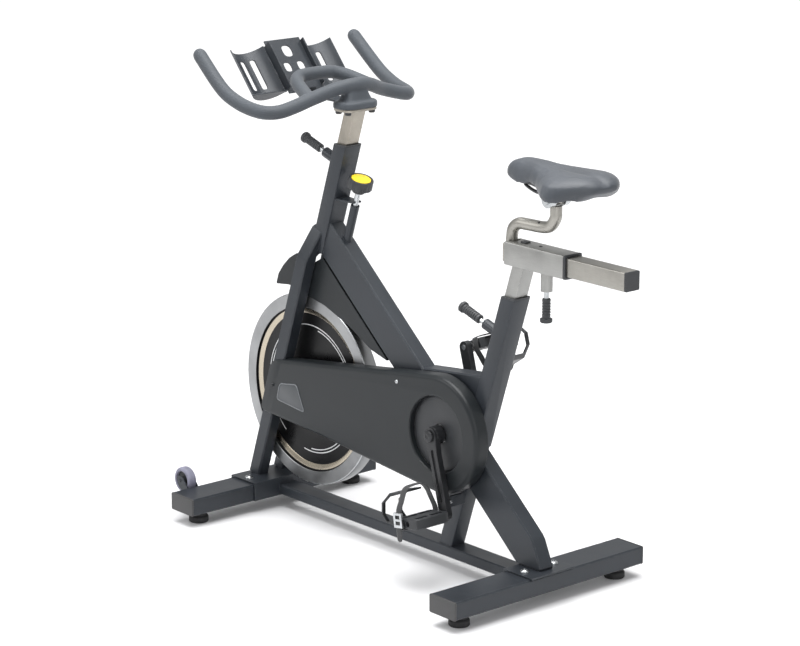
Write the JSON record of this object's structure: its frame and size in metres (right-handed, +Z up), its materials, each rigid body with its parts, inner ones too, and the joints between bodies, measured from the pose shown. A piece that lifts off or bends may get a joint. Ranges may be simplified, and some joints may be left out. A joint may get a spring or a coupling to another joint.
{
  "type": "indoor spin bike",
  "caption": "Indoor spin bike with belt-driven flywheel, screw brake, sliding saddle and handlebar posts, toe-cage pedals and transport wheels.",
  "frame": {"origin": "on the floor under the middle of the bounding box: the mid-plane of the bike, half way along its length", "axes": "+Z up, +Y towards the rear where the saddle is, -Y towards the handlebar and flywheel, +X towards the rider's left, which is the drive side"},
  "size_m": [0.546, 1.2437, 1.0991],
  "materials": {
    "powder_coat": "satin charcoal powder coat",
    "dark_plastic": "moulded plastic with a fine grain",
    "cover_plastic": "textured moulded cover",
    "brushed_steel": "brushed along the tube",
    "satin_steel": "satin silver grey",
    "cast_steel": "machined rim",
    "zinc_steel": "bright zinc plate",
    "black_steel": "black oxide",
    "rubber": "matte moulded rubber",
    "bar_foam": "soft matte coating",
    "saddle_cover": "matte synthetic leather",
    "grey_tyre": "matte grey tread",
    "yellow_plastic": "satin yellow disc",
    "felt": "pressed felt block"
  },
  "bodies": {
    "frame": {"main_frame": "powder_coat", "front_stabiliser": "powder_coat", "rear_stabiliser": "powder_coat", "frame_bolt_front_left": "zinc_steel", "frame_bolt_front_right": "zinc_steel", "frame_bolt_rear_left": "zinc_steel", "frame_bolt_rear_right": "zinc_steel", "axle_bearing_left": "zinc_steel", "axle_bearing_right": "zinc_steel", "drive_belt": "rubber", "bottom_bracket": "black_steel", "drive_cover": "cover_plastic", "cover_back_plate": "cover_plastic", "crank_side_disc": "dark_plastic", "flywheel_guard": "cover_plastic", "seat_post_bush": "dark_plastic", "head_post_bush": "dark_plastic"},
    "foot_front_left": {"levelling_foot_front_left": "rubber"},
    "foot_front_right": {"levelling_foot_front_right": "rubber"},
    "foot_rear_left": {"levelling_foot_rear_left": "rubber"},
    "foot_rear_right": {"levelling_foot_rear_right": "rubber"},
    "transport_wheel_left": {"transport_tyre_left": "grey_tyre", "transport_hub_left": "dark_plastic"},
    "transport_wheel_right": {"transport_tyre_right": "grey_tyre", "transport_hub_right": "dark_plastic"},
    "flywheel_assembly": {"flywheel": "cast_steel", "flywheel_axle": "zinc_steel", "flywheel_pulley": "cast_steel"},
    "crankset": {"crank_pulley": "cast_steel", "crank_spindle": "zinc_steel", "crank_arm_left": "black_steel", "crank_arm_right": "black_steel", "pedal_spindle_left": "zinc_steel", "pedal_spindle_right": "zinc_steel"},
    "pedal_left_assembly": {"pedal_left": "dark_plastic", "toe_cage_left": "black_steel", "pedal_strap_left": "rubber", "strap_buckle_left": "zinc_steel"},
    "pedal_right_assembly": {"pedal_right": "dark_plastic", "toe_cage_right": "black_steel", "pedal_strap_right": "rubber", "strap_buckle_right": "zinc_steel"},
    "saddle_post": {"seat_post": "satin_steel", "slide_collar": "dark_plastic"},
    "saddle_slide": {"saddle_slide_bar": "brushed_steel", "slide_end_cap": "dark_plastic"},
    "saddle": {"saddle_pad": "saddle_cover", "saddle_base": "dark_plastic", "saddle_rails": "black_steel", "saddle_clamp": "zinc_steel"},
    "seat_pin": {"seat_pop_pin": "dark_plastic"},
    "head_pin": {"head_pop_pin": "dark_plastic"},
    "slide_pin": {"slide_pop_pin": "dark_plastic"},
    "handlebar_post": {"head_post": "brushed_steel", "handlebar": "bar_foam", "bottle_holder": "powder_coat"},
    "brake_plunger": {"resistance_rod": "zinc_steel"},
    "brake_knob": {"resistance_knob": "dark_plastic", "knob_cap": "yellow_plastic"},
    "brake_shoe": {"brake_pad": "felt"}
  },
  "joints": [
    {"name": "flywheel_spin", "type": "hinge", "parent": "frame", "child": "flywheel_assembly", "pos_m": [0, -0.382, 0.306], "axis": [1, 0, 0], "continuous": true},
    {"name": "crank_spin", "type": "hinge", "parent": "frame", "child": "crankset", "pos_m": [0, 0.103, 0.317], "axis": [1, 0, 0], "continuous": true},
    {"name": "pedal_left_spin", "type": "hinge", "parent": "crankset", "child": "pedal_left_assembly", "pos_m": [0, 0.15793, 0.15612], "axis": [1, 0, 0], "continuous": true},
    {"name": "pedal_right_spin", "type": "hinge", "parent": "crankset", "child": "pedal_right_assembly", "pos_m": [0, 0.04807, 0.47788], "axis": [1, 0, 0], "continuous": true},
    {"name": "saddle_height", "type": "slide", "parent": "frame", "child": "saddle_post", "axis": [0, 0.309, 0.9511], "range_m": [0, 0.12]},
    {"name": "saddle_fore_aft", "type": "slide", "parent": "saddle_post", "child": "saddle_slide", "axis": [0, -1, 0], "range_m": [0, 0.12]},
    {"name": "saddle_tilt", "type": "hinge", "parent": "saddle_slide", "child": "saddle", "pos_m": [0, 0.401, 0.876], "axis": [1, 0, 0], "range_deg": [-10, 10], "stiffness_Nm_per_rad": 60},
    {"name": "handlebar_height", "type": "slide", "parent": "frame", "child": "handlebar_post", "axis": [0, 0.309, 0.9511], "range_m": [0, 0.12]},
    {"name": "seat_pin_pull", "type": "slide", "parent": "frame", "child": "seat_pin", "axis": [0, -0.9511, 0.309], "range_m": [0, 0.01], "stiffness_N_per_m": 800, "springref_m": -0.01},
    {"name": "head_pin_pull", "type": "slide", "parent": "frame", "child": "head_pin", "axis": [0, -0.9511, 0.309], "range_m": [0, 0.01], "stiffness_N_per_m": 800, "springref_m": -0.01},
    {"name": "slide_pin_pull", "type": "slide", "parent": "saddle_post", "child": "slide_pin", "axis": [0, 0, -1], "range_m": [0, 0.01], "stiffness_N_per_m": 800, "springref_m": -0.01},
    {"name": "brake_push", "type": "slide", "parent": "frame", "child": "brake_plunger", "axis": [0, -0.309, -0.9511], "range_m": [0, 0.003], "stiffness_N_per_m": 3000, "springref_m": -0.005},
    {"name": "resistance_turn", "type": "hinge", "parent": "brake_plunger", "child": "brake_knob", "pos_m": [0, -0.234, 0.758], "axis": [0, 0.309, 0.9511], "range_deg": [-720, 720]},
    {"name": "brake_shoe_travel", "type": "slide", "parent": "brake_plunger", "child": "brake_shoe", "axis": [0, -0.309, -0.9511], "range_m": [-0.003, 0.003]},
    {"name": "transport_wheel_left_spin", "type": "hinge", "parent": "frame", "child": "transport_wheel_left", "pos_m": [0, -0.592, 0.08], "axis": [1, 0, 0], "continuous": true},
    {"name": "transport_wheel_right_spin", "type": "hinge", "parent": "frame", "child": "transport_wheel_right", "pos_m": [0, -0.592, 0.08], "axis": [1, 0, 0], "continuous": true},
    {"name": "foot_front_left_level", "type": "slide", "parent": "frame", "child": "foot_front_left", "axis": [0, 0, -1], "range_m": [0, 0.008]},
    {"name": "foot_front_right_level", "type": "slide", "parent": "frame", "child": "foot_front_right", "axis": [0, 0, -1], "range_m": [0, 0.008]},
    {"name": "foot_rear_left_level", "type": "slide", "parent": "frame", "child": "foot_rear_left", "axis": [0, 0, -1], "range_m": [0, 0.008]},
    {"name": "foot_rear_right_level", "type": "slide", "parent": "frame", "child": "foot_rear_right", "axis": [0, 0, -1], "range_m": [0, 0.008]}
  ],
  "couplings": [
    {"joint": "crank_spin", "follows": "flywheel_spin", "ratio": 0.28571},
    {"joint": "brake_shoe_travel", "follows": "resistance_turn", "m_per_rad": 0.0002387}
  ]
}
